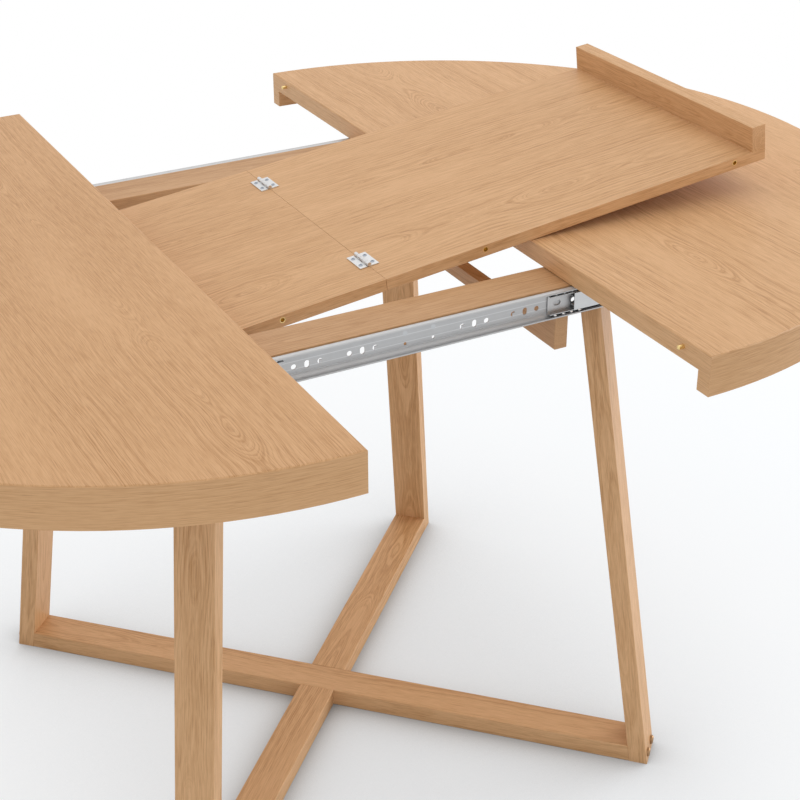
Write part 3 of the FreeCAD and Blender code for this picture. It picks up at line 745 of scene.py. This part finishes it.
@dataclass
class HalfTop:
    """One half of the round top with its battens and edge fittings."""

    half: Half
    oak: OakFinish
    brass: MetalFinish
    screw: MetalFinish
    heart: Triple
    seed: float
    batten_seeds: Seeds = Seeds(11.0, 3.0)
    batten_bow: float = 0.05

    def build(self) -> None:
        """Dresses the half, with the grain along its cut edge."""
        name = self.half.value
        low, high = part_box(f"{name}_top_panel")
        cut_edge = low.x if self.half is Half.RIGHT else high.x
        band = EdgeBand(cut_edge, self.half.outward, high.x - low.x)
        board = Board(*GrainLay.ALONG_Y.axes, Vector(self.heart), self.seed, band=band)
        oak = self.oak.material(f"oak_{name}_top", board)
        dress(f"{name}_top_panel", oak)
        dress(f"{name}_top_rim", oak)
        for number, side in enumerate(Side):
            node = f"{name}_batten_{side.value}"
            seed = self.seed + self.batten_seeds.of(number)
            board = Board(*GrainLay.ALONG_X.axes, middle(node), seed, bow=self.batten_bow)
            dress(node, self.oak.material(f"oak_{node}", board))
        dress(f"{name}_{self.half.edge_fitting}", self.brass.material(f"brass_{name}_edge"))
        dress(f"{name}_batten_screws", self.screw.material(f"{name}_screws"))


@dataclass
class Slides:
    """The ball bearing slides."""

    zinc: MetalFinish
    plate: MetalFinish
    cage: CageFinish
    channel_metallic: float = 0.5

    def build(self) -> None:
        """Dresses channels, members and ball cages."""
        zinc = self.zinc.material("zinc_slide")
        # Painted highlight lines for the channels.
        lines = RolledLines(middle("slide_channel_front").z)
        channel_zinc = replace(self.zinc, metallic=self.channel_metallic, rolled=lines)
        channel = channel_zinc.material("zinc_channel")
        plate = self.plate.material("zinc_plate")
        outer = self.cage.material("outer_caged_balls", "right_outer_ball_cage_front")
        inner = self.cage.material("inner_caged_balls", "right_inner_ball_cage_front")
        for side in Side:
            dress(f"slide_channel_{side.value}", channel)
            for half in Half:
                dress(f"{half.value}_slide_middle_{side.value}", zinc)
                dress(f"{half.value}_slide_drawer_{side.value}", plate)
                dress(f"{half.value}_outer_ball_cage_{side.value}", outer)
                dress(f"{half.value}_inner_ball_cage_{side.value}", inner)


@dataclass
class Leaf:
    """The hinged leaf that lies across the opening."""

    oak: OakFinish
    nickel: MetalFinish
    screw: MetalFinish
    brass: MetalFinish
    tilt: float = math.radians(6.78)
    heart: Triple = (0.0027, 0.06, 0.7384)
    strip: float = 0.175
    board_seeds: Seeds = Seeds(58.0, 0.7)
    lip_seeds: Seeds = Seeds(71.0, 5.0)
    lip_bow: float = 0.05

    def build(self) -> None:
        """Dresses boards, lips, fittings and hinges."""
        along = Vector((math.cos(self.tilt), 0.0, math.sin(self.tilt)))
        width = GrainLay.ALONG_Y.axes[0]
        brass = self.brass.material("brass_leaf")
        nickel = self.nickel.material("nickel_hinges")
        screws = self.screw.material("hinge_screws")
        for number, half in enumerate(Half):
            node = f"leaf_board_{half.value}"
            board = Board(along, width, Vector(self.heart), self.board_seeds.of(number), self.strip)
            dress(node, self.oak.material(f"oak_{node}", board))
            node = f"leaf_lip_{half.value}"
            board = Board(width, along, middle(node), self.lip_seeds.of(number), bow=self.lip_bow)
            dress(node, self.oak.material(f"oak_{node}", board))
            dress(f"leaf_sockets_{half.value}", brass)
            dress(f"leaf_pins_{half.value}", brass)
            dress(f"hinge_plates_{half.value}", nickel)
            dress(f"hinge_screws_{half.value}", screws)
        dress("hinge_pins", nickel)


@dataclass(frozen=True)
class Softbox:
    """A soft square lamp: where it hangs, the point it faces, its side in metres and its watts."""

    name: str
    place: Triple
    aim: Triple
    size: float
    power: float

    def hang(self) -> None:
        """Adds the lamp to the scene."""
        data = bpy.data.lights.new(self.name, "AREA")
        data.size = self.size
        data.energy = self.power
        lamp = bpy.data.objects.new(self.name, data)
        lamp.location = self.place
        lamp.rotation_mode = "QUATERNION"
        lamp.rotation_quaternion = (Vector(self.aim) - Vector(self.place)).to_track_quat("-Z", "Y")
        bpy.context.scene.collection.objects.link(lamp)


@dataclass
class Studio:
    """Pale floor, soft light and the camera at the photograph's angle."""

    camera_place: Triple = (-0.8179, -1.7599, 1.5355)
    camera_turn: float = math.radians(28.27)
    camera_dip: float = math.radians(28.54)
    camera_roll: float = math.radians(0.08)
    lens: float = 75.16
    sensor: float = 36.0
    sight: float = 100.0
    overhead: Softbox = Softbox("overhead_softbox", (1.0, 0.6, 3.3), (0.2, 0.0, 0.6), 3.0, 16.0)
    right: Softbox = Softbox("right_softbox", (3.6, -0.1, 1.0), (0.0, 0.0, 0.4), 2.2, 58.0)
    floor_size: float = 40.0
    floor_colour: Colour = (0.80, 0.87, 0.935)
    world_level: float = 0.84
    # Painted contact shadow: ambient occlusion darkens the floor near the legs and bars, in its
    # glow share and by blending its colour towards a dark grey.
    contact_samples: int = 8
    contact_reach: float = 0.40
    contact_power: float = 1.5
    contact_colour: Colour = (0.16, 0.17, 0.18)
    # Painted shade: the floor glows less in a pool round the table's middle.
    pool_glow: float = 0.40
    open_glow: float = 0.72
    pool_centre: Span = (0.08, -0.04)
    pool_start: float = 0.10
    pool_end: float = 0.70
    fade_start: float = 0.5
    fade_end: float = 2.0

    def add_camera(self) -> None:
        """Places the camera and makes it the scene's own."""
        data = bpy.data.cameras.new("photo_camera")
        data.lens = self.lens
        data.sensor_width = self.sensor
        data.clip_end = self.sight
        camera = bpy.data.objects.new("photo_camera", data)
        flat = math.cos(self.camera_dip)
        forward = Vector((
            math.sin(self.camera_turn) * flat,
            math.cos(self.camera_turn) * flat,
            -math.sin(self.camera_dip),
        ))
        camera.location = self.camera_place
        camera.rotation_mode = "QUATERNION"
        roll = Quaternion(forward, self.camera_roll)
        camera.rotation_quaternion = roll @ forward.to_track_quat("-Z", "Y")
        bpy.context.scene.collection.objects.link(camera)
        bpy.context.scene.camera = camera

    def add_floor(self) -> None:
        """Adds the floor, which turns to pure white far behind the table."""
        half = self.floor_size / 2
        corners = [(-half, -half, 0.0), (half, -half, 0.0), (half, half, 0.0), (-half, half, 0.0)]
        mesh = bpy.data.meshes.new("studio_floor")
        mesh.from_pydata(corners, [], [(0, 1, 2, 3)])
        floor = bpy.data.objects.new("studio_floor", mesh)
        bpy.context.scene.collection.objects.link(floor)
        mesh.materials.append(self.floor_material())

    def floor_material(self) -> bpy.types.Material:
        """Makes the floor's white, which keeps the table's shadow near it, deepened by painted
        contact shadow near the legs and bars and a painted pool of shade under the table.

        Returns:
            The material.
        """
        tree = ShaderTree.of_material("studio_white")
        where = tree.place()
        away = (math.sin(self.camera_turn), math.cos(self.camera_turn), 0.0)
        fade = where.dot(away).step(self.fade_start, self.fade_end)
        # Painted shade pool: less glow near the table's middle, more further out.
        ahead = where.dot(ALONG_SLIDES) - self.pool_centre[0]
        aside = where.dot(ALONG_CUT) - self.pool_centre[1]
        painted_shade_pool = ((ahead * ahead + aside * aside) ** 0.5).step(self.pool_start, self.pool_end)
        glow_share = self.pool_glow + painted_shade_pool * (self.open_glow - self.pool_glow)
        samples = {"samples": self.contact_samples}
        near = {"Distance": self.contact_reach}
        # Painted contact shadow: the occlusion cuts the floor's glow near the legs and bars.
        clear = tree.node("ShaderNodeAmbientOcclusion", samples, near, "AO") ** self.contact_power
        glow_share = glow_share * clear
        fade = glow_share + fade * (1.0 - glow_share)
        glow = tree.node("ShaderNodeEmission", sockets={"Strength": 1.0})
        # Painted contact shadow blended into the floor's own colour.
        painted_shadow_floor_colour = tree.blend(self.contact_colour, self.floor_colour, clear)
        material = tree.finish(Base_Color=painted_shadow_floor_colour, Roughness=1.0, Specular_IOR_Level=0.0)
        matt = Signal(tree, tree.shader.outputs[0])
        mixed = tree.node("ShaderNodeMixShader", sockets={0: fade * tree.seen(), 1: matt, 2: glow})
        tree.feed(tree.tree.nodes["Material Output"].inputs["Surface"], mixed)
        return material

    def add_world(self) -> None:
        """Lights the scene evenly, with white where the camera sees past the floor."""
        tree = ShaderTree.of_world("studio_world")
        strength = self.world_level + tree.seen() * (1.0 - self.world_level)
        bpy.context.scene.world = tree.finish(Color=(1.0, 1.0, 1.0), Strength=strength)

    def build(self) -> None:
        """Sets up the whole studio."""
        bpy.context.scene.view_settings.view_transform = "Standard"
        self.add_world()
        self.add_floor()
        self.overhead.hang()
        self.right.hang()
        self.add_camera()
        LOG.info("studio ready")


def main() -> None:
    """Dresses the table, sub-assembly by sub-assembly, and sets up the studio."""
    logging.basicConfig(level=logging.INFO, format="%(name)s: %(message)s")
    oak = OakFinish()
    brass = MetalFinish(colour=(0.90, 0.69, 0.31), roughness=0.34)
    screw = MetalFinish(colour=(0.60, 0.61, 0.62), roughness=0.38)
    left_oak = replace(oak, light=(0.671, 0.390, 0.192), dark=(0.403, 0.187, 0.058))
    right_oak = replace(oak, rim_shade=0.30)
    # Painted light: a lighter, less saturated copy of the oak for the legs and floor bars, which
    # get less light under the top. Its grain is finer too.
    lightened_leg_oak = replace(
        oak,
        light=(0.714, 0.431, 0.223),
        dark=(0.423, 0.204, 0.068),
        ring=0.0015,
        line=0.46,
        pitting=0.42,
    )
    # Painted shade: a darker copy of the oak for the rails and cross beams, which lie in the shade
    # under the top and leaf.
    rail_oak = replace(oak, light=(0.585, 0.342, 0.174), dark=(0.36, 0.169, 0.057))
    bolt = MetalFinish(colour=(0.42, 0.26, 0.14), roughness=0.45)
    zinc = MetalFinish(colour=(0.57, 0.567, 0.566), roughness=0.46)
    plate = MetalFinish(colour=(0.66, 0.665, 0.67), roughness=0.40)
    nickel = MetalFinish(colour=(0.74, 0.74, 0.74), roughness=0.34)
    blued = MetalFinish(colour=(0.44, 0.47, 0.52), roughness=0.26)
    left_heart = (-0.300, 0.0, 0.744)
    right_heart = (0.345, 0.0, 0.744)
    Base(lightened_leg_oak, rail_oak, bolt, screw).build()
    HalfTop(Half.LEFT, left_oak, brass, screw, left_heart, seed=5.0).build()
    HalfTop(Half.RIGHT, right_oak, brass, screw, right_heart, seed=12.6).build()
    Slides(zinc, plate, CageFinish()).build()
    Leaf(oak, nickel, blued, brass).build()
    Studio().build()


if __name__ == "__main__":
    main()
